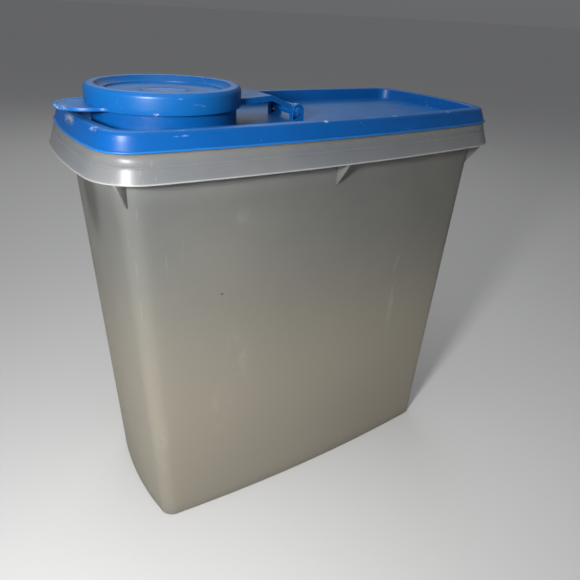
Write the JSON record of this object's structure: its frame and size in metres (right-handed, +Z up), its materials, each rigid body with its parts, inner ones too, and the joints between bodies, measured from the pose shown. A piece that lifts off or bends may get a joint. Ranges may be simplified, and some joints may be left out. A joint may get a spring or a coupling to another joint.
{
  "type": "cereal dispenser",
  "caption": "Tall rectangular dry-food keeper: frosted tapered tub with a skirted rim, press-fit tray lid with a round pouring neck, hinged cap with a pull tab.",
  "frame": {"origin": "middle of the flat base that the tub stands on", "axes": "+Z up, +X along the tub's long side away from the pouring neck, +Y across the tub's short side"},
  "size_m": [0.2574, 0.124, 0.2526],
  "materials": {
    "frosted_tub": "satin",
    "blue_lid": "satin",
    "blue_cap": "satin"
  },
  "bodies": {
    "tub": {"tub": "frosted_tub"},
    "lid": {"lid": "blue_lid"},
    "cap": {"cap": "blue_cap"}
  },
  "joints": [
    {"name": "lid_lift", "type": "slide", "parent": "tub", "child": "lid", "axis": [0, 0, 1], "range_m": [0, 0.06]},
    {"name": "cap_hinge", "type": "hinge", "parent": "lid", "child": "cap", "pos_m": [-0.002, 0, 0.2378], "axis": [0, 1, 0], "range_deg": [0, 155]}
  ]
}
